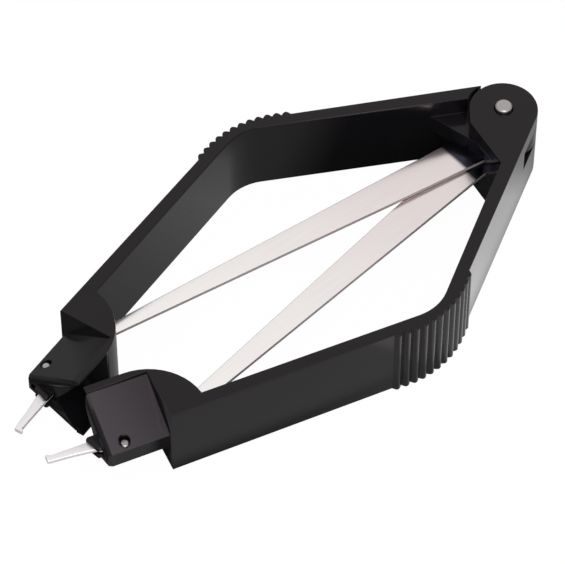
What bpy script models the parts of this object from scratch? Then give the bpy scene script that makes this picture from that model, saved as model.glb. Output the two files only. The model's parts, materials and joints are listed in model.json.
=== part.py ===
"""Chip extractor: two ribbed plastic arms hinged on a steel pin, two steel strips and two pinned hooks.

The tool lies on its flat side. X runs from the hinge to the hooks, +Y is the near arm and Z is up.
Sizes are millimetres until the plates are made, and the world is in metres.
"""

import math

import bmesh
import bpy
from mathutils import Matrix, Vector

MM = 0.001

# Arms
DEPTH = 16.9
WALL = 3.1
REAR_ANGLE = math.radians(29.9)
FRONT_ANGLE = math.radians(16.2)
KNEE_REACH = 44.3
KNEE_FILLET = 10.0
KNEE_OUTER = 21.1
FRONT_LENGTH = 57.5
EDGE_ROUND = 0.25

# Grip ribs round the outside of each knee
RIB_COUNT = 12
RIB_PITCH = 1.95
RIB_HEIGHT = 0.75
RIB_SINK = 0.5
RIB_STEPS = 6

# Hinge: the near arm has a thick lower ear and a thinner upper ear, the far arm a tongue between them
EAR_RADIUS = 6.95
EAR_FRONT = 7.9
EAR_SKEW = math.radians(12.0)
LOWER_EAR = 8.4
UPPER_EAR = 3.7
SLOT_RADIUS = 10.0
RUNNING_GAP = 0.3
SWING_GAP = 0.65
PIN_RADIUS = 1.72
PIN_PROUD = 0.9
PIN_RECESS = 0.5
PIN_CHAMFER = 0.25

# Jaw block and wedge foot at the front end of each arm
LOBE_RADIUS = 12.0
LOBE_AHEAD = 4.2
JAW_DROP = 10.3
LAND_WIDTH = 1.6
FOOT_LENGTH = 12.9
FOOT_OUTSET = 2.3
FOOT_EDGE_HEIGHT = 3.4
FOOT_SLOPE = math.radians(29.0)
FOOT_ROUND = 1.1
FOOT_ROOT = 0.5
FOOT_LAP = 0.3
LIP_RIM = 0.4
HOLLOW_DEPTH = 9.5
HOLLOW_WALL = 6.75
NOSE_LENGTH = 2.0
NOSE_OUTER_LENGTH = 0.8
NOSE_PLATE = 0.7
NOSE_ROUND = 0.3

# Steel strips
STRIP_THICKNESS = 0.5
STRIP_OFFSET = 0.64
STRIP_LEAN = math.radians(5.0)
STRIP_START = 9.6
STRIP_SEAT_AHEAD = 0.4
STRIP_SEAT_INSIDE = 0.9
STRIP_ROOT_LOW = 1.7
STRIP_ROOT_HIGH = 14.5
STRIP_TIP_LOW = 6.0
STRIP_TIP_HIGH = 11.4
TAB_START = 3.2
NEAR_TAB_LOW = 2.2
NEAR_TAB_HIGH = 6.2
FAR_TAB_LOW = 9.5
FAR_TAB_HIGH = 12.1
FORK_LENGTH = 6.0

# Hooks, measured from their own pins along and across the front of the arm
HOOK_THICKNESS = 1.0
HOOK_PIN_BACK = 4.3
HOOK_PIN_INSET = 1.7
HOOK_PIN_RADIUS = 0.5
HOOK_PIN_HEAD = 0.9
HOOK_PIN_LENGTH = 4.2
HOOK_EYE = 1.0
HOOK_TAIL = 9.0
HOOK_TAIL_DROP = 1.6
HOOK_TAIL_WIDTH = 0.8
HOOK_REACH = 14.4
HOOK_INNER = 4.3
HOOK_TIP_WIDTH = 1.6
HOOK_ROOT_WIDTH = 3.4
BARB_LENGTH = 0.9
BARB_DEPTH = 0.4
HOOK_SWING = math.radians(5.0)
BLADE_TURN = math.radians(60.0)
ROOM_TURN = math.radians(45.0)

FIT = 0.25
SLOT_GAP = 0.3
THROUGH = 1.0
ARC_STEP = math.radians(7.5)
TURNED_STEPS = 32
EDGE_STEPS = 1
WELD = 1e-6

DOWN = 1.5 * math.pi
HINGE = Vector((0, 0))
EYE_CENTRE = Vector((0, 0))

COLLECTION = "chip_extractor"
CUTTERS = "chip_extractor_cutters"


def clear_scene():
    for item in list(bpy.data.objects):
        bpy.data.objects.remove(item, do_unlink=True)
    for name in (COLLECTION, CUTTERS):
        group = bpy.data.collections.new(name)
        bpy.context.scene.collection.children.link(group)


def material(name, colour, roughness, metallic):
    finish = bpy.data.materials.new(name)
    finish.use_nodes = True
    shader = finish.node_tree.nodes["Principled BSDF"]
    shader.inputs["Base Color"].default_value = (*colour, 1.0)
    shader.inputs["Roughness"].default_value = roughness
    shader.inputs["Metallic"].default_value = metallic
    return finish


def arc(centre, radius, start, end):
    """Points on a circle from one angle to another, ends included."""
    steps = max(2, math.ceil(abs(end - start) / ARC_STEP))
    angles = [start + (end - start) * i / steps for i in range(steps + 1)]
    return [centre + radius * Vector((math.cos(a), math.sin(a))) for a in angles]


def direction(angle):
    return Vector((math.cos(angle), math.sin(angle)))


def mesh_object(name, mesh, cutter=False):
    item = bpy.data.objects.new(name, mesh)
    bpy.data.collections[CUTTERS if cutter else COLLECTION].objects.link(item)
    if cutter:
        item.hide_render = True
        item.display_type = "WIRE"
    return item


def plate(name, outline, low, high, side=1, frame=None, cutter=False, edge=0.0):
    """A flat outline in millimetres, extruded from low to high, with rounded edges, mirrored to its side."""
    curve = bpy.data.curves.new(name, "CURVE")
    curve.dimensions = "2D"
    curve.fill_mode = "BOTH"
    curve.extrude = ((high - low) / 2 - edge) * MM
    curve.bevel_depth = edge * MM
    curve.bevel_resolution = EDGE_STEPS
    curve.offset = -edge * MM
    spline = curve.splines.new("POLY")
    spline.points.add(len(outline) - 1)
    for point, place in zip(spline.points, outline):
        point.co = (place[0] * MM, place[1] * MM, 0, 1)
    spline.use_cyclic_u = True
    source = bpy.data.objects.new(name, curve)
    bpy.context.scene.collection.objects.link(source)
    evaluated = source.evaluated_get(bpy.context.evaluated_depsgraph_get())
    mesh = bpy.data.meshes.new_from_object(evaluated)
    bpy.data.objects.remove(source, do_unlink=True)
    lift = Matrix.Translation((0, 0, (high + low) / 2 * MM))
    mirror = Matrix.Diagonal((1, side, 1, 1))
    mesh.transform(mirror @ (frame or Matrix()) @ lift)
    mesh.name = name
    tidy = bmesh.new()
    tidy.from_mesh(mesh)
    bmesh.ops.remove_doubles(tidy, verts=tidy.verts, dist=WELD)
    bmesh.ops.recalc_face_normals(tidy, faces=tidy.faces)
    tidy.to_mesh(mesh)
    tidy.free()
    return mesh_object(name, mesh, cutter)


def disc(name, centre, radius, low, high, side=1, cutter=True):
    return plate(name, arc(centre, radius, 0, math.tau)[:-1], low, high, side, cutter=cutter)


def combine(target, tool, operation):
    step = target.modifiers.new(tool.name, "BOOLEAN")
    step.operation = operation
    step.object = tool


def set_origin(item, place):
    """Moves an object's origin to a point of the plan, with its shape left where it is."""
    shift = Vector((place[0] * MM, place[1] * MM, 0))
    item.data.transform(Matrix.Translation(-shift))
    item.location = shift


def centre_tool(middle):
    """Hangs every object on one empty, so that the world's origin is under the middle of the tool."""
    tool = bpy.data.objects.new("tool_frame", None)
    bpy.data.collections[COLLECTION].objects.link(tool)
    for name in (COLLECTION, CUTTERS):
        for item in bpy.data.collections[name].objects:
            if item is not tool:
                item.parent = tool
    tool.location.x = -middle * MM
    bpy.context.view_layer.update()


def shade(item, finish, angle=30):
    item.data.materials.clear()
    item.data.materials.append(finish)
    item.data.shade_smooth()
    item.data.set_sharp_from_angle(angle=math.radians(angle))


# Plan geometry of one arm, drawn for the near side
rear_way = direction(REAR_ANGLE)
rear_out = Vector((-rear_way.y, rear_way.x))
front_way = direction(-FRONT_ANGLE)
front_out = Vector((-front_way.y, front_way.x))
knee_turn = REAR_ANGLE + FRONT_ANGLE
inner_offset = EAR_RADIUS - WALL
knee_inner = Vector((KNEE_REACH, KNEE_REACH * math.tan(REAR_ANGLE) + inner_offset / math.cos(REAR_ANGLE)))
knee_top = math.pi / 2 + (REAR_ANGLE - FRONT_ANGLE) / 2
knee_stretch = 1 / math.cos(knee_turn / 2)
fillet_centre = knee_inner - KNEE_FILLET * knee_stretch * direction(knee_top)
outer_centre = knee_inner + (WALL - KNEE_OUTER) * knee_stretch * direction(knee_top)
foot_inner = -JAW_DROP
foot_end = FRONT_LENGTH + FOOT_LENGTH
lobe_middle = LOBE_RADIUS - JAW_DROP
mid_height = DEPTH / 2
slot_low = LOWER_EAR
slot_high = DEPTH - UPPER_EAR
ear_foot = EAR_FRONT * direction(-EAR_SKEW)
ear_edge = Vector((math.sin(EAR_SKEW), math.cos(EAR_SKEW)))


def jaw(along, across):
    """A point by its distance along the front of the arm from the knee, and outwards across it."""
    return knee_inner + along * front_way + across * front_out


# Each strip runs from beside the hinge pin to its seat in the jaw block
lobe_centre = FRONT_LENGTH + LOBE_AHEAD
strip_seat = jaw(FRONT_LENGTH + STRIP_SEAT_AHEAD, -STRIP_SEAT_INSIDE)
strip_angle = math.atan2(strip_seat.y, strip_seat.x) - math.asin(STRIP_OFFSET / strip_seat.length)
strip_end = math.sqrt(strip_seat.length_squared - STRIP_OFFSET ** 2)


def knee_outer(run):
    """Point and outward normal on the outer edge, by its run from the top of the knee to the front."""
    half = KNEE_OUTER * knee_turn / 2
    turn = max(-half, min(half, run)) / KNEE_OUTER
    normal = direction(knee_top - turn)
    along = Vector((normal.y, -normal.x))
    beyond = run - turn * KNEE_OUTER
    return outer_centre + KNEE_OUTER * normal + beyond * along, normal


def ribbed_edge():
    """The outer edge round the knee from front to rear, a row of half round ribs sunk into the wall."""
    points = []
    steps = RIB_COUNT * RIB_STEPS
    for i in range(steps + 1):
        run = RIB_PITCH * RIB_COUNT * (0.5 - i / steps)
        place, normal = knee_outer(run)
        swell = math.sin(math.pi * i / RIB_STEPS) ** 2
        points.append(place + (RIB_HEIGHT * math.sqrt(swell) - RIB_SINK) * normal)
    return points


def arm_outline():
    """Ear, wall, knee, jaw lobe and the thin land beside the foot, as one closed plan."""
    tangent = math.acos(EAR_RADIUS / EAR_FRONT)
    ear_start = math.pi / 2 + REAR_ANGLE
    ear_end = math.tau - EAR_SKEW - tangent
    ear = arc(HINGE, EAR_RADIUS, ear_start, ear_end)
    reach = (inner_offset - ear_foot.dot(rear_out)) / ear_edge.dot(rear_out)
    web = [ear_foot, ear_foot + reach * ear_edge]
    inner = arc(fillet_centre, KNEE_FILLET, math.pi / 2 + REAR_ANGLE, math.pi / 2 - FRONT_ANGLE)
    back = math.pi - math.asin(-lobe_middle / LOBE_RADIUS)
    turned = arc(Vector((lobe_centre, lobe_middle)), LOBE_RADIUS, back, DOWN)
    lobe = [jaw(*p) for p in turned]
    land_end = foot_end - FOOT_ROUND / 2
    land = [jaw(land_end, foot_inner), jaw(land_end, foot_inner + LAND_WIDTH),
            jaw(FRONT_LENGTH, foot_inner + LAND_WIDTH), jaw(FRONT_LENGTH, WALL)]
    return ear + web + inner + lobe + land + ribbed_edge()


def foot_height(across):
    """Half height of the wedge foot, by the place across it."""
    return FOOT_EDGE_HEIGHT / 2 + (FOOT_OUTSET - across) * math.tan(FOOT_SLOPE)


def foot_profile():
    """Section of the wedge foot, across and up, with slopes above and below a short outer edge."""
    start = foot_inner + LAND_WIDTH - FOOT_LAP
    return [Vector((start, -foot_height(start))), Vector((FOOT_OUTSET, -FOOT_EDGE_HEIGHT / 2)),
            Vector((FOOT_OUTSET, FOOT_EDGE_HEIGHT / 2)), Vector((start, foot_height(start)))]


def hollow_profile():
    """Section of the notch that leaves the foot two sloping lips, thin at their rims."""
    start = foot_inner - THROUGH
    end = FOOT_OUTSET - HOLLOW_WALL
    mouth = (mid_height - LIP_RIM) * (end - start) / (end - foot_inner)
    return [Vector((start, -mouth)), Vector((end, 0)), Vector((start, mouth))]


hook_pin_along = foot_end - HOOK_PIN_BACK
hook_pin_across = FOOT_OUTSET - HOOK_PIN_INSET
hook_pin = jaw(hook_pin_along, hook_pin_across)


def hook_point(along, across):
    return jaw(hook_pin_along + along, hook_pin_across + across)


def hook_outline():
    """Tail, eye and tapered blade with a barb turned in at the tip."""
    half_tail = HOOK_TAIL_WIDTH / 2
    shoulder = math.asin(half_tail / HOOK_EYE)
    below = arc(EYE_CENTRE, HOOK_EYE, math.pi + shoulder, DOWN)
    above = arc(EYE_CENTRE, HOOK_EYE, BLADE_TURN, math.pi - shoulder)
    barb = HOOK_INNER + BARB_DEPTH
    blade = [(HOOK_PIN_BACK - FOOT_ROUND, -HOOK_INNER), (HOOK_REACH - BARB_LENGTH, -HOOK_INNER),
             (HOOK_REACH - BARB_LENGTH / 2, -barb), (HOOK_REACH, -barb),
             (HOOK_REACH, HOOK_TIP_WIDTH - HOOK_INNER), (HOOK_PIN_BACK, HOOK_ROOT_WIDTH - HOOK_INNER)]
    plan = [(-HOOK_TAIL, -HOOK_TAIL_DROP - half_tail)] + below + blade
    plan += above + [(-HOOK_TAIL, half_tail - HOOK_TAIL_DROP)]
    return [hook_point(*p) for p in plan]


def nose_outline():
    """Thin cover over the root of the hook, rounded at its inner front corner."""
    inner = -HOOK_INNER - SLOT_GAP
    outer = -HOOK_INNER + HOOK_ROOT_WIDTH
    front = HOOK_PIN_BACK + NOSE_LENGTH
    corner = arc(Vector((front - NOSE_PLATE, inner + NOSE_PLATE)), NOSE_PLATE, -math.pi / 2, 0)
    plan = [(0, inner)] + corner + [(HOOK_PIN_BACK + NOSE_OUTER_LENGTH, outer), (0, outer)]
    return [hook_point(*p) for p in plan]


def hook_room():
    """Slit inside the foot that lets the hook swing about its pin."""
    eye = HOOK_EYE + SLOT_GAP
    tail = HOOK_TAIL + 2 * SLOT_GAP
    tail_half = HOOK_TAIL_WIDTH / 2 + HOOK_TAIL * math.sin(HOOK_SWING) + SLOT_GAP
    mouth = HOOK_PIN_BACK + NOSE_LENGTH + THROUGH
    drop = HOOK_INNER + mouth * math.sin(HOOK_SWING) + SLOT_GAP
    top = HOOK_ROOT_WIDTH - HOOK_INNER + mouth * math.sin(HOOK_SWING) + SLOT_GAP
    below = arc(EYE_CENTRE, eye, math.pi + ROOM_TURN, DOWN)
    above = arc(EYE_CENTRE, eye, ROOM_TURN, math.pi - ROOM_TURN)
    plan = [(-tail, -HOOK_TAIL_DROP - tail_half)] + below
    plan += [(HOOK_EYE, -drop), (mouth, -drop), (mouth, top)]
    plan += above + [(-tail, tail_half - HOOK_TAIL_DROP)]
    return [hook_point(*p) for p in plan]


def strip_frame():
    """Places a drawing of a strip, along and up, on its plane beside the hinge pin, leaning in."""
    turn = Matrix.Rotation(strip_angle, 4, "Z")
    start = Matrix.Translation((0, STRIP_OFFSET * MM, mid_height * MM))
    stand = Matrix.Rotation(math.pi / 2 + STRIP_LEAN, 4, "X")
    return turn @ start @ stand @ Matrix.Translation((0, -mid_height * MM, 0))


def strip_outline(tab_low, tab_high):
    """Tapered strip with a root tab in the hinge and a fork for the hook's tail at the front."""
    fork = HOOK_THICKNESS / 2 + SLOT_GAP
    fork_start = strip_end - FORK_LENGTH
    return [(TAB_START, tab_low), (STRIP_START, tab_low), (STRIP_START, STRIP_ROOT_LOW),
            (strip_end, STRIP_TIP_LOW), (strip_end, mid_height - fork),
            (fork_start, mid_height - fork), (fork_start, mid_height + fork),
            (strip_end, mid_height + fork), (strip_end, STRIP_TIP_HIGH),
            (STRIP_START, STRIP_ROOT_HIGH), (STRIP_START, tab_high), (TAB_START, tab_high)]


def strip_box(name, start, end, low, high, side):
    """Cutter for a groove or slot that a strip sits in, from its heights at both ends."""
    half = STRIP_THICKNESS / 2 + SLOT_GAP
    outline = [(start, low[0]), (end, low[1]), (end, high[1]), (start, high[0])]
    return plate(name, outline, -half, half, side, strip_frame(), cutter=True)


def strip_heights(along):
    """Lower and upper edge of a strip, by the place along it."""
    share = (along - STRIP_START) / (strip_end - STRIP_START)
    return (STRIP_ROOT_LOW + (STRIP_TIP_LOW - STRIP_ROOT_LOW) * share,
            STRIP_ROOT_HIGH + (STRIP_TIP_HIGH - STRIP_ROOT_HIGH) * share)


def build_arm(label, side, finish):
    """One moulded arm, with the jaw end cut for its strip and its hook."""
    arm = plate(label + "_arm", arm_outline(), 0, DEPTH, side, edge=EDGE_ROUND)
    along = Matrix((front_way.to_3d(), front_out.to_3d(), (0, 0, 1))).transposed().to_4x4()
    stand = Matrix(((0, 0, 1, 0), (1, 0, 0, 0), (0, 1, 0, 0), (0, 0, 0, 1)))
    base = Matrix.Translation((*(knee_inner * MM), mid_height * MM))
    frame = base @ along @ stand
    foot_start = FRONT_LENGTH - FOOT_ROOT - FOOT_ROUND
    foot = plate(label + "_foot_block", foot_profile(), foot_start, foot_end, side, frame,
                 cutter=True, edge=FOOT_ROUND)
    combine(arm, foot, "UNION")
    hollow = plate(label + "_foot_hollow", hollow_profile(), foot_end - HOLLOW_DEPTH, foot_end + THROUGH,
                   side, frame, cutter=True)
    combine(arm, hollow, "DIFFERENCE")
    slit = HOOK_THICKNESS / 2 + SLOT_GAP
    cover = slit + NOSE_PLATE
    nose = plate(label + "_hook_nose", nose_outline(), mid_height - cover, mid_height + cover, side,
                 cutter=True, edge=NOSE_ROUND)
    combine(arm, nose, "UNION")
    room = plate(label + "_hook_room", hook_room(), mid_height - slit, mid_height + slit, side, cutter=True)
    combine(arm, room, "DIFFERENCE")
    hole = disc(label + "_hook_pin_hole", hook_pin, HOOK_PIN_HEAD + FIT, -THROUGH, DEPTH + THROUGH, side)
    combine(arm, hole, "DIFFERENCE")
    slot_start = strip_end - 2 * LOBE_RADIUS
    slot_end = strip_end + 2 * SLOT_GAP
    edges = list(zip(strip_heights(slot_start), strip_heights(slot_end)))
    slot = strip_box(label + "_strip_slot", slot_start, slot_end, [h - SLOT_GAP for h in edges[0]],
                     [h + SLOT_GAP for h in edges[1]], side)
    combine(arm, slot, "DIFFERENCE")
    shade(arm, finish)
    return arm


def cut_clevis(arm):
    """Slot between the near arm's ears, and the groove for the near strip's tab in the lower ear."""
    slot = disc("clevis_slot", HINGE, SLOT_RADIUS, slot_low, slot_high)
    combine(arm, slot, "DIFFERENCE")
    groove = strip_box("near_tab_groove", TAB_START - SLOT_GAP, STRIP_START + THROUGH,
                       [NEAR_TAB_LOW - SLOT_GAP] * 2, [LOWER_EAR + THROUGH] * 2, 1)
    combine(arm, groove, "DIFFERENCE")


def cut_tongue(arm):
    """Room for the near arm's ears above and below the far arm's tongue, and the far tab's groove."""
    tongue_low = slot_low + RUNNING_GAP
    tongue_high = slot_high - RUNNING_GAP
    back = -EAR_RADIUS * rear_way
    front = 2 * EAR_FRONT * rear_way
    near_edge = inner_offset * rear_out
    far_edge = -2 * EAR_FRONT * rear_out
    web = [near_edge + back, near_edge + front, far_edge + front, far_edge + back]
    for name, low, high in (("lower", -THROUGH, tongue_low), ("upper", tongue_high, DEPTH + THROUGH)):
        room = disc(name + "_ear_room", HINGE, EAR_RADIUS + SWING_GAP, low, high, -1)
        combine(arm, room, "DIFFERENCE")
        clear = plate(name + "_web_room", web, low, high, -1, cutter=True)
        combine(arm, clear, "DIFFERENCE")
    groove = strip_box("far_tab_groove", TAB_START - SLOT_GAP, STRIP_START + THROUGH,
                       [LOWER_EAR - THROUGH] * 2, [FAR_TAB_HIGH + SLOT_GAP] * 2, -1)
    combine(arm, groove, "DIFFERENCE")


def build_pin(name, centre, profile, side, finish):
    """A turned pin from the upper half of its profile outwards, as radius and height."""
    points = [(0, profile[0][1])] + profile + [(0, profile[-1][1])]
    mesh = bpy.data.meshes.new(name)
    edges = [(i, i + 1) for i in range(len(points) - 1)]
    mesh.from_pydata([(r * MM, 0, z * MM) for r, z in points], edges, [])
    pin = mesh_object(name, mesh)
    pin.location = (centre.x * MM, side * centre.y * MM, 0)
    turn = pin.modifiers.new("turned", "SCREW")
    turn.steps = TURNED_STEPS
    turn.render_steps = TURNED_STEPS
    turn.use_merge_vertices = True
    turn.merge_threshold = WELD
    pin.data.materials.append(finish)
    return pin


def plain_profile(radius, low, high):
    """A plain round pin with a small chamfer at both ends."""
    return [(radius - PIN_CHAMFER, high), (radius, high - PIN_CHAMFER),
            (radius, low + PIN_CHAMFER), (radius - PIN_CHAMFER, low)]


def headed_profile():
    """Hook pin: a head in each lip of the foot and a slimmer shank through the hook's eye."""
    high = mid_height + HOOK_PIN_LENGTH / 2
    low = mid_height - HOOK_PIN_LENGTH / 2
    shoulder = HOOK_THICKNESS / 2 + SLOT_GAP
    return [(HOOK_PIN_HEAD - PIN_CHAMFER, high), (HOOK_PIN_HEAD, high - PIN_CHAMFER),
            (HOOK_PIN_HEAD, mid_height + shoulder), (HOOK_PIN_RADIUS, mid_height + shoulder),
            (HOOK_PIN_RADIUS, mid_height - shoulder), (HOOK_PIN_HEAD, mid_height - shoulder),
            (HOOK_PIN_HEAD, low + PIN_CHAMFER), (HOOK_PIN_HEAD - PIN_CHAMFER, low)]


def main():
    clear_scene()
    plastic = material("satin_black_plastic", (0.022, 0.021, 0.022), 0.42, 0.0)
    steel = material("spring_steel", (0.72, 0.71, 0.70), 0.28, 1.0)
    pin_steel = material("pin_steel", (0.62, 0.60, 0.58), 0.35, 1.0)
    hook_steel = material("hook_steel", (0.78, 0.78, 0.77), 0.25, 1.0)

    near_arm = build_arm("near", 1, plastic)
    far_arm = build_arm("far", -1, plastic)
    cut_clevis(near_arm)
    cut_tongue(far_arm)
    for arm in (near_arm, far_arm):
        side = "near" if arm is near_arm else "far"
        bore = disc(side + "_pivot_bore", HINGE, PIN_RADIUS + FIT, -THROUGH, DEPTH + THROUGH)
        combine(arm, bore, "DIFFERENCE")
    build_pin("pivot_pin", HINGE, plain_profile(PIN_RADIUS, PIN_RECESS, DEPTH + PIN_PROUD), 1, pin_steel)

    half = STRIP_THICKNESS / 2
    for label, side, low, high in (("near", 1, NEAR_TAB_LOW, NEAR_TAB_HIGH),
                                   ("far", -1, FAR_TAB_LOW, FAR_TAB_HIGH)):
        strip = plate(label + "_strip", strip_outline(low, high), -half, half, side, strip_frame())
        shade(strip, steel)
        thick = HOOK_THICKNESS / 2
        hook = plate(label + "_hook", hook_outline(), mid_height - thick, mid_height + thick, side)
        eye = disc(label + "_hook_eye", hook_pin, HOOK_PIN_RADIUS + FIT, 0, DEPTH, side)
        combine(hook, eye, "DIFFERENCE")
        set_origin(hook, (hook_pin.x, side * hook_pin.y))
        shade(hook, hook_steel)
        build_pin(label + "_hook_pin", hook_pin, headed_profile(), side, pin_steel)
    middle = (min(p.x for p in arm_outline()) + max(p.x for p in hook_outline())) / 2
    centre_tool(middle)
    print("hinge axis at x", -middle, "and hook pins at", hook_pin.x - middle, hook_pin.y)


main()
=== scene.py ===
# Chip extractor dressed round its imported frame: black plastic arms, steel strips, hinge pin and hooks.
import json
import math

import bmesh
import bpy
import numpy as np
from mathutils import Matrix, Vector

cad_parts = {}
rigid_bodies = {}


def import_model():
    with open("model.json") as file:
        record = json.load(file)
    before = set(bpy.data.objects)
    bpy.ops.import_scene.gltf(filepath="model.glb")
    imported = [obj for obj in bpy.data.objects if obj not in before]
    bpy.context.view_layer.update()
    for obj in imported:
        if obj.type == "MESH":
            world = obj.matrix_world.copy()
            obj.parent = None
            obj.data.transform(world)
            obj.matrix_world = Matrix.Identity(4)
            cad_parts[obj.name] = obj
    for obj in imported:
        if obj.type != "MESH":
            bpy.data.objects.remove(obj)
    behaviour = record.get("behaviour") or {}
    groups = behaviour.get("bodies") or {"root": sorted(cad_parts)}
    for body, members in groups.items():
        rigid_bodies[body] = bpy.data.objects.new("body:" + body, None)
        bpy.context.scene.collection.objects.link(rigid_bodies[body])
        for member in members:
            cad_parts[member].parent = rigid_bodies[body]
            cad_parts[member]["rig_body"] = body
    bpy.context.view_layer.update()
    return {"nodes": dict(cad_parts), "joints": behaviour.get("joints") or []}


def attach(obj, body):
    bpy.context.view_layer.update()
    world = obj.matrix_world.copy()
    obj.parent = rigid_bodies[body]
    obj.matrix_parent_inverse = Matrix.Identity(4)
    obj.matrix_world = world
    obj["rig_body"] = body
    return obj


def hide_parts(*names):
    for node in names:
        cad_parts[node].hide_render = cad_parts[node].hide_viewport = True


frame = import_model()
scene = bpy.context.scene
nodes = frame["nodes"]
joints = {joint["name"]: joint for joint in frame["joints"]}
hinge = Vector(joints["arm_pivot"]["pos_m"])
rearTurn = math.radians(29.9)      # the near arm's walls behind and before the knee, from +X
frontTurn = math.radians(-16.2)
print("frame loaded,", len(nodes), "nodes, hinge at", tuple(round(c, 4) for c in hinge))


# View of the photograph, given from the hinge axis
viewSpec = {
    "turn": math.radians(139.696),    # round Z, from looking along +Y
    "rise": math.radians(50.902),
    "roll": math.radians(-0.07),
    "aim": Vector((0.06323, 0.00554, 0.00845)),
    "distance": 0.6881,
    "sensor": 36.0,
    "lens": 226.4,
}


def placeCamera(spec):
    turn, rise, roll = spec["turn"], spec["rise"], spec["roll"]
    back = Vector((math.sin(turn) * math.cos(rise), -math.cos(turn) * math.cos(rise), math.sin(rise)))
    level = Vector((math.cos(turn), math.sin(turn), 0))
    upright = back.cross(level)
    right = math.cos(roll) * level + math.sin(roll) * upright
    up = back.cross(right)
    lensData = bpy.data.cameras.new("photoView")
    lensData.sensor_width = spec["sensor"]
    lensData.lens = spec["lens"]
    camera = bpy.data.objects.new("photoView", lensData)
    scene.collection.objects.link(camera)
    pose = Matrix((right, up, back)).transposed().to_4x4()
    pose.translation = hinge + spec["aim"] + back * spec["distance"]
    camera.matrix_world = pose
    scene.camera = camera


placeCamera(viewSpec)
scene.view_settings.view_transform = "Standard"
print("camera placed")


# Small helpers for node trees
def link(tree, source, target):
    tree.links.new(source, target)


def addNode(tree, kind, **values):
    node = tree.nodes.new(kind)
    for key, value in values.items():
        setattr(node, key, value)
    return node


def addMath(tree, operation, first, second=None, clamp=False):
    node = addNode(tree, "ShaderNodeMath", operation=operation, use_clamp=clamp)
    for slotIndex, value in enumerate((first, second)):
        if value is None:
            continue
        if isinstance(value, (int, float)):
            node.inputs[slotIndex].default_value = value
        else:
            link(tree, value, node.inputs[slotIndex])
    return node.outputs[0]


# White studio: a pale floor with a faint shadow, and a sky that is white to the eye and grey to the tool
studioSpec = {
    "floorSize": 4.0,
    "floorColour": (0.9, 0.9, 0.9, 1),
    "floorGlow": 0.98,                # share of plain white that the eye sees
    "mirrorGlow": 1.0,                # the same for reflections
    "mirrorSpan": (-0.01, 0.13),      # stretch along the tool, from the hinge
    "mirrorStops": (                  # share of that stretch and brightness of the reflected floor
        (0.0, 0.02), (0.28, 0.03), (0.35, 0.4), (0.43, 0.48),
        (0.57, 0.32), (0.73, 0.22), (0.79, 0.03), (0.89, 0.1),
    ),
    "mirrorWalls": (                  # the near arm's outer walls: turn, edges from the hinge, stops beyond
        (rearTurn, (0.004, 0.0085), ((0.0, 0.35), (0.03, 0.4), (0.09, 0.8), (0.18, 0.9), (0.25, 1.05))),
        (frontTurn, (0.042, 0.048), ((0.0, 0.6), (1.0, 0.6))),
    ),
    "floorDrop": 0.00005,
    "skyStops": ((0.0, 0.4), (0.5, 0.4), (0.62, 0.5), (0.8, 0.88), (1.0, 0.88)),    # from below to overhead
    "skyWhite": (1, 1, 1, 1),
}


# Share of plain white by the kind of ray: one for the eye, another for mirror images
def seenWhite(tree, eye, mirror):
    rays = addNode(tree, "ShaderNodeLightPath")
    straight = addMath(tree, "MULTIPLY", rays.outputs["Is Camera Ray"], eye)
    glossy, through = rays.outputs["Is Glossy Ray"], rays.outputs["Is Transmission Ray"]
    bounced = addMath(tree, "ADD", glossy, through, clamp=True)
    return addMath(tree, "ADD", straight, addMath(tree, "MULTIPLY", bounced, mirror), clamp=True)


# Ramp through (place, grey or colour) stops
def addRamp(tree, value, stops):
    ramp = addNode(tree, "ShaderNodeValToRGB")
    marks = ramp.color_ramp.elements
    for index, (spot, colour) in enumerate(stops):
        mark = marks[index] if index < 2 else marks.new(spot)
        mark.position = spot
        mark.color = colour if isinstance(colour, tuple) else (colour, colour, colour, 1)
    link(tree, value, ramp.inputs[0])
    return ramp.outputs[0]


# Brightness of the floor in reflections: a ramp along the tool, and others beyond the near arm's walls
def mirrorLevel(tree, spec):
    place = addNode(tree, "ShaderNodeNewGeometry").outputs["Position"]
    along = addNode(tree, "ShaderNodeSeparateXYZ")
    link(tree, place, along.inputs[0])
    first, last = spec["mirrorSpan"]
    share = addMath(tree, "SUBTRACT", along.outputs["X"], hinge.x + first)
    share = addMath(tree, "DIVIDE", share, last - first, clamp=True)
    level = addRamp(tree, share, spec["mirrorStops"])
    for turn, edges, stops in spec["mirrorWalls"]:
        outward = Vector((-math.sin(turn), math.cos(turn), 0))
        across = addNode(tree, "ShaderNodeVectorMath", operation="DOT_PRODUCT")
        link(tree, place, across.inputs[0])
        across.inputs[1].default_value = outward
        step = addNode(tree, "ShaderNodeMapRange", interpolation_type="SMOOTHSTEP")
        link(tree, across.outputs["Value"], step.inputs["Value"])
        step.inputs["From Min"].default_value = hinge.dot(outward) + edges[0]
        step.inputs["From Max"].default_value = hinge.dot(outward) + edges[1]
        beyond = addMath(tree, "MULTIPLY", addRamp(tree, share, stops), step.outputs["Result"])
        level = addMath(tree, "MAXIMUM", level, beyond)
    return level


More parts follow.
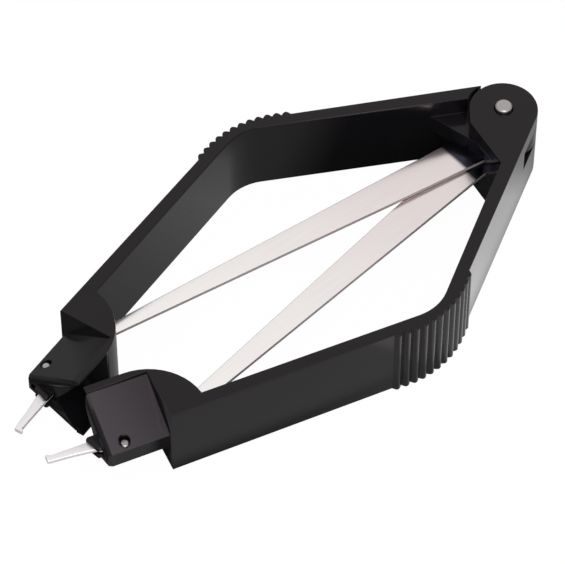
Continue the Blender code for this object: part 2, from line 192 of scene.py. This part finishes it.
def makeFloor(spec):
    half = spec["floorSize"] / 2
    corners = np.array(((-1, -1, 0), (1, -1, 0), (1, 1, 0), (-1, 1, 0))) * half
    corners[:, 2] = -spec["floorDrop"]
    mesh = bpy.data.meshes.new("studioFloor")
    mesh.from_pydata(corners.tolist(), [], [(0, 1, 2, 3)])
    floor = bpy.data.objects.new("studioFloor", mesh)
    scene.collection.objects.link(floor)
    finish = bpy.data.materials.new("paleFloor")
    finish.use_nodes = True
    tree = finish.node_tree
    tree.nodes.clear()
    output = addNode(tree, "ShaderNodeOutputMaterial")
    matt = addNode(tree, "ShaderNodeBsdfDiffuse")
    matt.inputs["Color"].default_value = spec["floorColour"]
    glow = addNode(tree, "ShaderNodeEmission")
    eye = addNode(tree, "ShaderNodeLightPath").outputs["Is Camera Ray"]
    link(tree, addMath(tree, "MAXIMUM", eye, mirrorLevel(tree, spec)), glow.inputs["Strength"])
    blend = addNode(tree, "ShaderNodeMixShader")
    link(tree, seenWhite(tree, spec["floorGlow"], spec["mirrorGlow"]), blend.inputs[0])
    link(tree, matt.outputs[0], blend.inputs[1])
    link(tree, glow.outputs[0], blend.inputs[2])
    link(tree, blend.outputs[0], output.inputs["Surface"])
    mesh.materials.append(finish)


def makeSky(spec):
    world = bpy.data.worlds.new("studioSky")
    world.use_nodes = True
    scene.world = world
    tree = world.node_tree
    tree.nodes.clear()
    output = addNode(tree, "ShaderNodeOutputWorld")
    place = addNode(tree, "ShaderNodeTexCoord")
    split = addNode(tree, "ShaderNodeSeparateXYZ")
    link(tree, place.outputs["Generated"], split.inputs[0])
    height = addMath(tree, "MULTIPLY_ADD", split.outputs["Z"], 0.5)    # from -1...1 to 0...1
    height.node.inputs[2].default_value = 0.5
    dome = addNode(tree, "ShaderNodeBackground")
    link(tree, addRamp(tree, height, spec["skyStops"]), dome.inputs["Color"])
    white = addNode(tree, "ShaderNodeBackground")
    white.inputs["Color"].default_value = spec["skyWhite"]
    blend = addNode(tree, "ShaderNodeMixShader")
    link(tree, seenWhite(tree, 1.0, 0.0), blend.inputs[0])
    link(tree, dome.outputs[0], blend.inputs[1])
    link(tree, white.outputs[0], blend.inputs[2])
    link(tree, blend.outputs[0], output.inputs["Surface"])


# Two soft boxes: one faces straight down, so that its left edge fades across the near foot
lampSpec = {
    "softBox": {"at": (0.244, 0.5, 1.0), "aim": None, "size": (0.6, 0.9), "power": 6.0,
                "tint": (0.94, 0.92, 1.0)},
    "fillBox": {"at": (0.7, 0.9, 0.5), "aim": (0, 0, 0.008), "size": (0.8, 0.8), "power": 4.0,
                "tint": (0.92, 0.92, 1.0)},
}


def makeLamps(spec):
    for name, values in spec.items():
        data = bpy.data.lights.new(name, "AREA")
        data.shape = "RECTANGLE"
        data.size, data.size_y = values["size"]
        data.energy = values["power"]
        data.color = values["tint"]
        lamp = bpy.data.objects.new(name, data)
        scene.collection.objects.link(lamp)
        lamp.location = values["at"]
        if values["aim"]:
            way = Vector(values["aim"]) - lamp.location
            lamp.rotation_euler = way.to_track_quat("-Z", "Y").to_euler()


makeFloor(studioSpec)
makeSky(studioSpec)
makeLamps(lampSpec)
print("studio set")


# Shared surface effects as node groups
def newGroup(name, inputs, outputs):
    group = bpy.data.node_groups.new(name, "ShaderNodeTree")
    for label, kind, value in inputs:
        socket = group.interface.new_socket(label, in_out="INPUT", socket_type="NodeSocket" + kind)
        socket.default_value = value
    for label, kind in outputs:
        group.interface.new_socket(label, in_out="OUTPUT", socket_type="NodeSocket" + kind)
    return group, addNode(group, "NodeGroupInput"), addNode(group, "NodeGroupOutput")


def addNoise(tree, vector, scale, detail):
    noise = addNode(tree, "ShaderNodeTexNoise")
    link(tree, vector, noise.inputs["Vector"])
    if isinstance(scale, (int, float)):
        noise.inputs["Scale"].default_value = scale
    else:
        link(tree, scale, noise.inputs["Scale"])
    noise.inputs["Detail"].default_value = detail
    return noise.outputs[0]


def centred(tree, value, amount):
    offset = addMath(tree, "SUBTRACT", value, 0.5)
    return addMath(tree, "MULTIPLY", offset, amount)


# Colour made darker or lighter by a value round one half
def shadedColour(tree, colour, value, amount):
    level = addMath(tree, "ADD", 1.0, centred(tree, value, amount))
    shade = addNode(tree, "ShaderNodeCombineColor")
    for channel in range(3):
        link(tree, level, shade.inputs[channel])
    tint = addNode(tree, "ShaderNodeMix", data_type="RGBA", blend_type="MULTIPLY")
    tint.inputs["Factor"].default_value = 1.0
    link(tree, colour, tint.inputs["A"])
    link(tree, shade.outputs[0], tint.inputs["B"])
    return tint.outputs["Result"]


# mouldGrain: fine spark texture of a moulded face, with slow uneven gloss
grainSpec = {
    "colour": (0.014, 0.014, 0.015, 1),    # where a finish sets none of its own
    "gloss": 0.36,
    "uneven": 0.12,                   # change of gloss by the slow clouds
    "scale": 2600.0,
    "detail": 2.0,
    "sparkle": 0.08,                  # change of gloss by the grain
    "cloudScale": 90.0,
    "cloudDetail": 4.0,
    "cloudShade": 0.5,
}


def makeMouldGrain(spec):
    group, ins, outs = newGroup(
        "mouldGrain",
        [("Colour", "Color", spec["colour"]), ("Gloss", "Float", spec["gloss"]),
         ("Uneven", "Float", spec["uneven"]), ("Grain Scale", "Float", spec["scale"])],
        [("Colour", "Color"), ("Roughness", "Float"), ("Height", "Float")])
    place = addNode(group, "ShaderNodeTexCoord").outputs["Object"]
    grain = addNoise(group, place, ins.outputs["Grain Scale"], spec["detail"])
    cloud = addNoise(group, place, spec["cloudScale"], spec["cloudDetail"])
    rough = addMath(group, "ADD", ins.outputs["Gloss"], centred(group, cloud, ins.outputs["Uneven"]))
    rough = addMath(group, "ADD", rough, centred(group, grain, spec["sparkle"]))
    shaded = shadedColour(group, ins.outputs["Colour"], cloud, spec["cloudShade"])
    link(group, shaded, outs.inputs["Colour"])
    link(group, rough, outs.inputs["Roughness"])
    link(group, grain, outs.inputs["Height"])
    return group


# brushedLines: long fine scratches along one axis of the metal
brushSpec = {
    "colour": (0.8, 0.8, 0.79, 1),    # where a finish sets none of its own
    "gloss": 0.24,
    "scratch": 0.16,                  # change of gloss by the lines
    "scale": 1.0,
    "detail": 5.0,
    "shade": 0.12,
}


def makeBrushedLines(spec):
    group, ins, outs = newGroup(
        "brushedLines",
        [("Vector", "Vector", (0, 0, 0)), ("Colour", "Color", spec["colour"]),
         ("Gloss", "Float", spec["gloss"]), ("Scratch", "Float", spec["scratch"])],
        [("Colour", "Color"), ("Roughness", "Float"), ("Height", "Float")])
    lines = addNoise(group, ins.outputs["Vector"], spec["scale"], spec["detail"])
    rough = addMath(group, "ADD", ins.outputs["Gloss"], centred(group, lines, ins.outputs["Scratch"]))
    shaded = shadedColour(group, ins.outputs["Colour"], lines, spec["shade"])
    link(group, shaded, outs.inputs["Colour"])
    link(group, rough, outs.inputs["Roughness"])
    link(group, lines, outs.inputs["Height"])
    return group


mouldGrain = makeMouldGrain(grainSpec)
brushedLines = makeBrushedLines(brushSpec)


def newFinish(name):
    finish = bpy.data.materials.new(name)
    finish.use_nodes = True
    return finish, finish.node_tree, finish.node_tree.nodes["Principled BSDF"]


bumpSpec = {"strength": 0.15, "distance": 0.00002}


def addBump(tree, shader, height, spec):
    bump = addNode(tree, "ShaderNodeBump")
    bump.inputs["Strength"].default_value = spec["strength"]
    bump.inputs["Distance"].default_value = spec["distance"]
    link(tree, height, bump.inputs["Height"])
    link(tree, bump.outputs[0], shader.inputs["Normal"])
    return bump


plasticSpec = {
    "colour": (0.0042, 0.0038, 0.0044, 1),
    "gloss": 0.22,
    "uneven": 0.08,
    "refraction": 1.25,
    "tint": (1.0, 0.82, 0.86, 1),     # of the reflections
    "coat": 1.0,
    "coatGloss": 0.09,
    "coatRefraction": 1.2,
    "corner": 0.0003,                 # moulded edges catch a line of light
    "cornerSamples": 6,
}


def makePlastic(spec):
    finish, tree, shader = newFinish("satinBlackPlastic")
    grain = addNode(tree, "ShaderNodeGroup", node_tree=mouldGrain)
    grain.inputs["Colour"].default_value = spec["colour"]
    grain.inputs["Gloss"].default_value = spec["gloss"]
    grain.inputs["Uneven"].default_value = spec["uneven"]
    link(tree, grain.outputs["Colour"], shader.inputs["Base Color"])
    link(tree, grain.outputs["Roughness"], shader.inputs["Roughness"])
    shader.inputs["Coat Weight"].default_value = spec["coat"]
    shader.inputs["Coat Roughness"].default_value = spec["coatGloss"]
    shader.inputs["Coat IOR"].default_value = spec["coatRefraction"]
    shader.inputs["IOR"].default_value = spec["refraction"]
    shader.inputs["Specular Tint"].default_value = spec["tint"]
    bump = addBump(tree, shader, grain.outputs["Height"], bumpSpec)
    corner = addNode(tree, "ShaderNodeBevel", samples=spec["cornerSamples"])
    corner.inputs["Radius"].default_value = spec["corner"]
    link(tree, corner.outputs[0], bump.inputs["Normal"])
    return finish


# Sheared sides of a flat piece, found by the slope of the face: dull, and painted dark brown as shade
# beside the bright flat
sideShadeSpec = {"slope": (0.45, 0.75), "colour": (0.34, 0.29, 0.28, 1)}

# Colour along a strip, from the hinge: a dark bluish root of painted shade under the ear, then steel
# painted lighter towards the jaw
stripShadeSpec = {
    "length": 0.1,
    "stops": (                        # share of the length and colour
        (0.0, (0.05, 0.048, 0.066, 1)), (0.119, (0.05, 0.048, 0.066, 1)), (0.123, (0.82, 0.74, 0.73, 1)),
        (0.25, (0.84, 0.76, 0.75, 1)), (0.6, (0.94, 0.9, 0.88, 1)), (0.9, (1.0, 0.955, 0.94, 1)),
    ),
}


# Takes the metal off the sides and paints them dark brown as painted shade
def shadeCutSides(finish, spec):
    tree = finish.node_tree
    shader = tree.nodes["Principled BSDF"]
    bright = shader.inputs["Base Color"].links[0].from_socket
    face = addNode(tree, "ShaderNodeSeparateXYZ")
    link(tree, addNode(tree, "ShaderNodeNewGeometry").outputs["Normal"], face.inputs[0])
    flat = addNode(tree, "ShaderNodeMapRange", interpolation_type="SMOOTHSTEP")
    link(tree, addMath(tree, "ABSOLUTE", face.outputs["Z"]), flat.inputs["Value"])
    flat.inputs["From Min"].default_value, flat.inputs["From Max"].default_value = spec["slope"]
    blend = addNode(tree, "ShaderNodeMix", data_type="RGBA")
    link(tree, flat.outputs["Result"], blend.inputs["Factor"])
    blend.inputs["A"].default_value = spec["colour"]
    link(tree, bright, blend.inputs["B"])
    link(tree, blend.outputs["Result"], shader.inputs["Base Color"])
    link(tree, flat.outputs["Result"], shader.inputs["Metallic"])
    return finish


# Paints shade at the strip's root and light towards the jaw into the brushed colour
def paintStripShade(finish, spec):
    tree = finish.node_tree
    brush = next(node for node in tree.nodes if node.type == "GROUP")
    place = addNode(tree, "ShaderNodeSeparateXYZ")
    link(tree, addNode(tree, "ShaderNodeTexCoord").outputs["UV"], place.inputs[0])
    share = addMath(tree, "DIVIDE", place.outputs["X"], spec["length"], clamp=True)
    link(tree, addRamp(tree, share, spec["stops"]), brush.inputs["Colour"])
    return finish


# The strips take their colour, painted shade and painted light included, from the two specs above; the
# other steels have one of their own
springSpec = {"gloss": 0.22, "stretch": (50, 2600, 1), "along": "UV"}
turnedSpec = {"gloss": 0.36, "stretch": (1500, 1500, 1500), "along": "Object",
              "colour": (0.42, 0.395, 0.385, 1), "metal": 1.0}
stampedSpec = {"gloss": 0.45, "stretch": (300, 1800, 1800), "along": "Object",
               "colour": (0.77, 0.745, 0.74, 1), "metal": 0.5}


def makeSteel(name, spec):
    finish, tree, shader = newFinish(name)
    place = addNode(tree, "ShaderNodeTexCoord")
    mapping = addNode(tree, "ShaderNodeMapping")
    mapping.inputs["Scale"].default_value = spec["stretch"]
    link(tree, place.outputs[spec["along"]], mapping.inputs["Vector"])
    brush = addNode(tree, "ShaderNodeGroup", node_tree=brushedLines)
    link(tree, mapping.outputs[0], brush.inputs["Vector"])
    brush.inputs["Gloss"].default_value = spec["gloss"]
    if "colour" in spec:
        brush.inputs["Colour"].default_value = spec["colour"]
        shader.inputs["Metallic"].default_value = spec["metal"]
    link(tree, brush.outputs["Colour"], shader.inputs["Base Color"])
    link(tree, brush.outputs["Roughness"], shader.inputs["Roughness"])
    addBump(tree, shader, brush.outputs["Height"], bumpSpec)
    return finish


finishes = {
    "arm_plastic": makePlastic(plasticSpec),
    "strip_steel": paintStripShade(shadeCutSides(makeSteel("springSteel", springSpec), sideShadeSpec), stripShadeSpec),
    "pin_steel": makeSteel("turnedSteel", turnedSpec),
    "hook_steel": makeSteel("stampedSteel", stampedSpec),
}
print("finishes made:", ", ".join(finishes))


# Each arm's foot has a pit of 0.3 mm where the hollow inside breaks through: place and size of its rim
pitSpec = {
    "near_arm": (0.10011, 0.0132, 0.00324),
    "far_arm": (0.10011, -0.0132, 0.00324),
    "size": 0.0003,
}

mergeSpec = {
    "weld": 2e-6,
    "flat": math.radians(0.4),        # faces closer than this become one
    "sharp": math.radians(32.0),
    "flatWeight": 100,                # big faces stay flat up to their round edges
}


# Merged copies of the arms and pins, so that round stretches shade smoothly
def mergedCopy(nodeName, slot, spec):
    mesh = nodes[nodeName].data.copy()
    mesh.name = nodeName + "_finished"
    work = bmesh.new()
    work.from_mesh(mesh)
    bmesh.ops.remove_doubles(work, verts=work.verts, dist=spec["weld"])
    if nodeName in pitSpec:
        spot = hinge + Vector(pitSpec[nodeName])
        rim = [corner for corner in work.verts if (corner.co - spot).length < pitSpec["size"]]
        bmesh.ops.pointmerge(work, verts=rim, merge_co=spot)
        print(nodeName, "pit closed,", len(rim), "corners")
    bmesh.ops.dissolve_limit(work, angle_limit=spec["flat"], verts=work.verts, edges=work.edges)
    work.to_mesh(mesh)
    work.free()
    mesh.shade_smooth()
    mesh.set_sharp_from_angle(angle=spec["sharp"])
    piece = dressed(mesh, nodeName, slot)
    flats = piece.modifiers.new("flatFaces", "WEIGHTED_NORMAL")
    flats.weight = spec["flatWeight"]
    flats.keep_sharp = True


# Hangs a finished mesh on the body of the node that it stands for
def dressed(mesh, nodeName, slot):
    mesh.materials.clear()
    mesh.materials.append(finishes[slot])
    piece = bpy.data.objects.new(mesh.name, mesh)
    scene.collection.objects.link(piece)
    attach(piece, nodes[nodeName]["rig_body"])
    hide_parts(nodeName)
    return piece


# Strips lie flat, one over the other at the hinge, and are measured along X from the hinge
stripSpec = {
    "slot": "strip_steel",
    "inner": ((0.0061, -0.0034), (0.097, 0.01105)),     # distance along and place of the edge
    "outer": ((0.0061, 0.0045), (0.097, 0.0134)),
    "reach": {"near": 0.0004, "far": 0.0},              # the near strip is a little wider on its outer side
    "top": {"near": 0.0085, "far": 0.0095},
    "thick": 0.0009,
    "round": 0.00015,
    "rows": 40,
    "cornerSteps": 4,
    "sharp": math.radians(50),
}

# Hooks are measured from their pins, along the front part of the arm
hookSpec = {
    "slot": "hook_steel",
    "inner": (
        (-0.001, -0.001), (0.0025, -0.00415), (0.0136, -0.00415), (0.0141, -0.0046), (0.0145, -0.0045),
    ),
    "outer": (
        (-0.001, 0.001), (0.0, 0.001), (0.0049, -0.0018),
        (0.0099, -0.0025), (0.0139, -0.00285), (0.0145, -0.003),
    ),
    "top": 0.0089,
    "thick": 0.0009,
    "round": 0.0002,
    "rows": 24,
    "cornerSteps": 5,
    "sharp": math.radians(50),
}


# Ring of a rounded oblong: share of the width and of the height, then cosine and sine about each corner
def oblongRing(steps):
    quarters = np.arange(4)[:, None] * math.pi / 2
    turns = (np.linspace(0, math.pi / 2, steps) + quarters).ravel()
    wide = np.repeat((1, 0, 0, 1), steps)
    high = np.repeat((1, 1, 0, 0), steps)
    return wide, high, np.cos(turns), np.sin(turns)


# A flat blade: the oblong carried along a straight line, its sides on two edges given by points
def makeBlade(nodeName, spec, start, way, side, top):
    knots = [run for run, place in spec["inner"] + spec["outer"]]
    run = np.unique(np.concatenate((knots, np.linspace(min(knots), max(knots), spec["rows"]))))[:, None]
    thick, radius = spec["thick"], spec["round"]
    inner = np.interp(run, *zip(*spec["inner"])) + radius
    outer = np.interp(run, *zip(*spec["outer"])) - radius
    wide, high, out, up = oblongRing(spec["cornerSteps"])
    across = inner + (outer - inner) * wide + radius * out
    height = top - thick + radius + high * (thick - 2 * radius) + radius * up
    along = run + 0 * across
    x = start.x + along * way.x - side * across * way.y
    y = start.y + along * way.y + side * across * way.x
    points = np.stack((x, y, height + 0 * across), axis=-1)
    rows, ring = across.shape
    index = np.arange(rows * ring).reshape(rows, ring)
    ahead = np.roll(index, -1, axis=1)
    quads = np.stack((index[:-1], index[1:], ahead[1:], ahead[:-1]), axis=-1).reshape(-1, 4)
    ends = [index[0, ::side].tolist(), index[-1, ::-side].tolist()]
    faces = quads[:, ::side].tolist() + ends    # turned over on the far side, to face outwards
    mesh = bpy.data.meshes.new(nodeName + "_finished")
    mesh.from_pydata(points.reshape(-1, 3).tolist(), [], faces)
    corners = np.empty(len(mesh.loops), dtype=np.int32)
    mesh.loops.foreach_get("vertex_index", corners)
    flat = np.stack((along, across), axis=-1).reshape(-1, 2)
    mesh.uv_layers.new(name="along").data.foreach_set("uv", flat[corners].ravel())
    mesh.shade_smooth()
    mesh.set_sharp_from_angle(angle=spec["sharp"])
    dressed(mesh, nodeName, spec["slot"])


for label, side in (("near", 1), ("far", -1)):
    reach = stripSpec["reach"][label]
    widened = dict(stripSpec, outer=tuple((run, place + reach) for run, place in stripSpec["outer"]))
    makeBlade(label + "_strip", widened, hinge, Vector((1, 0)), side, stripSpec["top"][label])
    pin = Vector(joints[label + "_hook_swing"]["pos_m"])
    front = Vector((math.cos(frontTurn), side * math.sin(frontTurn)))
    makeBlade(label + "_hook", hookSpec, pin, front, side, hookSpec["top"])
print("strips and hooks made")

for nodeName in ("near_arm", "far_arm"):
    mergedCopy(nodeName, "arm_plastic", mergeSpec)
for nodeName in ("pivot_pin", "near_hook_pin", "far_hook_pin"):
    mergedCopy(nodeName, "pin_steel", mergeSpec)
print("arms and pins dressed")
